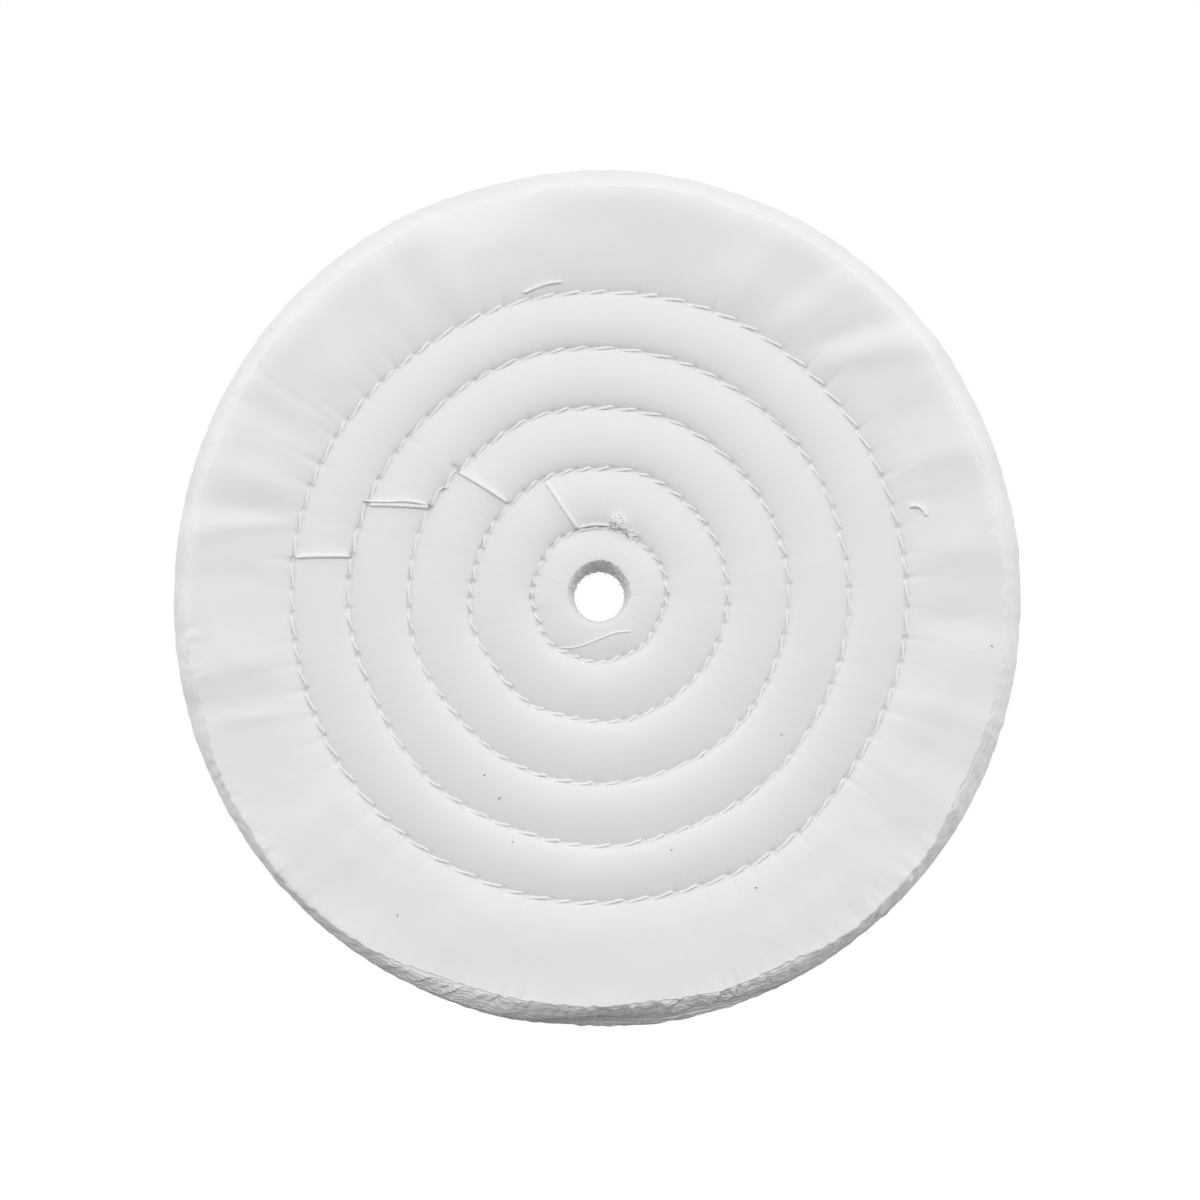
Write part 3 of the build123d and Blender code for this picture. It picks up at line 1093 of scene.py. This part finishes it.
# The knot: strands drawn together and frayed out at both ends.
KNOT_START = np.array([4.0, 18.0])
KNOT_END = np.array([8.2, 13.6])
KNOT_STRANDS = 50
KNOT_WAIST = 0.7  # the share of its length at which it is tightest
KNOT_RISE = (0.3, 1.7)  # how far its strands stand up from the face
KNOT_YARN = (0.14, 0.24)  # their radius


def knot_strand():
    """A strand that humps up over part of the knot."""
    knot = KNOT_END - KNOT_START
    along = knot / np.linalg.norm(knot)
    across = np.array([-along[1], along[0]])
    shares = np.linspace(rng.uniform(-0.2, 0.2), rng.uniform(0.35, 1.1), 6)
    spread = 0.3 + np.abs(shares - KNOT_WAIST)
    places = [
        KNOT_START + knot * share + across * rng.normal(0, 1) * reach
        for share, reach in zip(shares, spread)
    ]
    rise = rng.uniform(*KNOT_RISE)
    path = laid_path(places, 0.0, rounds=3)
    path[:, 1] -= 0.1 + rise * np.sin(np.linspace(0, math.pi, len(path))) ** 0.7
    return spun_tube(path, rng.uniform(*KNOT_YARN), 6, taper=tapered(len(path), 0.3))


thread_piece("frayed_knot", [knot_strand() for _ in range(KNOT_STRANDS)], ["needle_thread_knot"])

RIM_FIBRES = 420
RIM_FIBRE_RADIUS = 0.055
BORE_FIBRES = 300
BORE_FIBRE_RADIUS = 0.08
FIBRE_STEPS = 4
FIBRE_CURL = 0.35  # how far a fibre's direction strays at each step


def frayed_yarns(count, place, radius):
    """Short curly fibres: place() gives each one's root, direction and length."""
    parts = []
    for _ in range(count):
        root, heading, length = place()
        points = [root]
        for _ in range(FIBRE_STEPS):
            heading = heading + rng.normal(0, FIBRE_CURL, 3)
            heading /= np.linalg.norm(heading)
            points.append(points[-1] + heading * length / FIBRE_STEPS)
        path = smooth_path(np.array(points), 2)
        taper = np.linspace(1.0, 0.35, len(path))
        parts.append(spun_tube(path, radius * rng.uniform(0.7, 1.3), 5, taper=taper))
    return parts


def fibre(angle, level, cloth, real, lean, tilts, lengths):
    """A fibre's root on a cut edge, its direction and its length."""
    out = outwards(angle)
    around = np.array([-math.sin(angle), 0.0, math.cos(angle)])
    y = height_of(level, np.array([cloth]), np.array([angle]))[0]
    heading = out * lean + around * rng.uniform(-1, 1) + np.array([0, rng.uniform(*tilts), 0])
    return out * real + np.array([0, y, 0]), heading / np.linalg.norm(heading), rng.uniform(*lengths)


def rim_fibre():
    angle = rng.uniform(0, TURN)
    level = rng.uniform(-0.95, 0.95)
    cloth = RIM_RADIUS - 0.6 - float(crown_depth(angle) * crown(level, angle))
    real = true_radius(np.array([cloth]), np.array([angle]))[0]
    return fibre(angle, level, cloth, real, 0.5, (-0.8, 0.8), (0.8, 2.4))


def bore_fibre():
    angle = math.radians(rng.normal(115, 50))
    level = rng.uniform(-0.97, 0.7)
    cloth = BORE_RADIUS - 0.1 + mouth(level, angle)
    return fibre(angle, level, cloth, cloth, -0.3, (-0.8, 0.4), (0.5, 1.5))


thread_piece("rim_frayed_yarns", frayed_yarns(RIM_FIBRES, rim_fibre, RIM_FIBRE_RADIUS))
thread_piece("bore_frayed_yarns", frayed_yarns(BORE_FIBRES, bore_fibre, BORE_FIBRE_RADIUS))

# Bits of seed husk caught in the cotton: x and z in mm, and length.
FLECKS = (
    (-47.6, -76.3, 0.7),
    (-27.2, -43.2, 0.5),
    (-23.6, -48.7, 0.9),
    (-20.5, -59.0, 0.45),
    (17.1, -60.9, 0.5),
    (37.1, -69.8, 0.7),
    (43.3, -33.6, 0.5),
    (93.4, -12.5, 0.6),
)
FLECK_RADIUS = 0.14


def husk_fleck(x, z, size):
    heading = rng.uniform(0, math.pi)
    dx, dz = size / 2 * math.cos(heading), size / 2 * math.sin(heading)
    path = laid_path([(x - dx, z - dz), (x, z), (x + dx, z + dz)], 0.05, rounds=2)
    return spun_tube(path, FLECK_RADIUS, 6, taper=tapered(len(path), 0.5))


flecks = join_parts([husk_fleck(*fleck) for fleck in FLECKS])
finish_piece(make_object("husk_flecks", *flecks, husk_material()))

# ---- Camera, light and stage ----
CAMERA_DISTANCE = 0.85
CAMERA_LOW = math.radians(-6.0)
CAMERA_LENS = 106.2
CAMERA_SENSOR = 36
CAMERA_AIM = Vector((0.0002, 0, -0.0008))


def facing(place, target):
    """The turn of a camera or lamp at a place that looks at a target."""
    return (-(place - target)).to_track_quat("-Z", "Y").to_euler()


camera_data = bpy.data.cameras.new("camera")
camera_data.sensor_width = CAMERA_SENSOR
camera_data.lens = CAMERA_LENS
camera = add_object("camera", camera_data)
camera.location = (0, -CAMERA_DISTANCE * math.cos(CAMERA_LOW), CAMERA_DISTANCE * math.sin(CAMERA_LOW))
camera.rotation_euler = facing(camera.location, CAMERA_AIM)
bpy.context.scene.camera = camera


def soft_light(name, location, size, power):
    """A square lamp, in metres and watts, that faces the wheel and isn't seen itself."""
    data = bpy.data.lights.new(name, "AREA")
    data.size = size
    data.energy = power
    lamp = add_object(name, data)
    lamp.location = location
    lamp.rotation_euler = facing(Vector(location), Vector((0, 0, 0)))
    lamp.visible_camera = False


soft_light("front_fill", (0.0, -1.5, 0.3), 0.9, 13.1)
soft_light("back_fill", (0.0, 1.5, 0.3), 0.9, 4.5)

# The room is bright overhead and at both sides, and dark below, so undersides go grey:
# the share of the way up, and how bright it is there.
SKY = ((0.0, 0.1), (0.3, 0.12), (0.52, 0.66), (1.0, 1.8))
SKY_BASE = 0.38
SKY_SIDES = 0.82
SIDES_LOWER = 0.7  # how much further down the brightness reaches at the sides
SKY_BEHIND = 0.48  # how much brighter it is behind the wheel, and darker before it


def studio_world():
    """The room's light, with plain white in its place in the picture."""
    world = bpy.data.worlds.new("studio")
    bpy.context.scene.world = world
    world.use_nodes = True
    tree = world.node_tree
    place = (add_node(tree, "TexCoord", {}), "Generated")
    split = add_node(tree, "SeparateXYZ", {"Vector": place})
    square = add_math(tree, "MULTIPLY", (split, "X"), (split, "X"))
    lifted = add_math(tree, "MULTIPLY_ADD", square, SIDES_LOWER, (split, "Z"))
    height = add_node(tree, "MapRange", {"Value": lifted, "From Min": -1.0})
    sides = add_math(tree, "MULTIPLY_ADD", square, SKY_SIDES, SKY_BASE)
    behind = add_math(tree, "MULTIPLY_ADD", (split, "Y"), SKY_BEHIND, 1.0)
    lit = tree.nodes["Background"]
    sky = add_ramp(tree, (height, "Result"), [(stop, grey(bright)) for stop, bright in SKY])
    feed(tree, lit, {"Color": sky, "Strength": add_math(tree, "MULTIPLY", sides, behind)})
    seen = add_node(tree, "Background", {"Color": (1, 1, 1, 1)})
    to_camera = (add_node(tree, "LightPath", {}), "Is Camera Ray")
    mixing = {"Fac": to_camera, 1: (lit, "Background"), 2: (seen, "Background")}
    mix = add_node(tree, "MixShader", mixing)
    feed(tree, tree.nodes["World Output"], {"Surface": (mix, "Shader")})


studio_world()

FLOOR_HALF = 3.0
FLOOR_GREY = 0.08
FLOOR_GLOW = 0.97


def white_floor(low):
    """A sheet of white paper, which only the camera sees."""
    material, tree, shader = new_material("white_floor")
    inputs = {
        "Base Color": (*grey(FLOOR_GREY), 1),
        "Roughness": 1.0,
        "Specular IOR Level": 0.0,
        "Emission Color": (1, 1, 1, 1),
        "Emission Strength": FLOOR_GLOW,
    }
    feed(tree, shader, inputs)
    mesh = bpy.data.meshes.new("floor")
    corners = [(x * FLOOR_HALF, y * FLOOR_HALF, low) for x, y in ((-1, -1), (1, -1), (1, 1), (-1, 1))]
    mesh.from_pydata(corners, [], [(0, 1, 2, 3)])
    mesh.materials.append(material)
    floor = add_object("floor", mesh)
    for rays in ("diffuse", "glossy", "transmission", "shadow"):
        setattr(floor, "visible_" + rays, False)
    return floor


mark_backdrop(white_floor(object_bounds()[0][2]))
bpy.context.scene.view_settings.view_transform = "Standard"
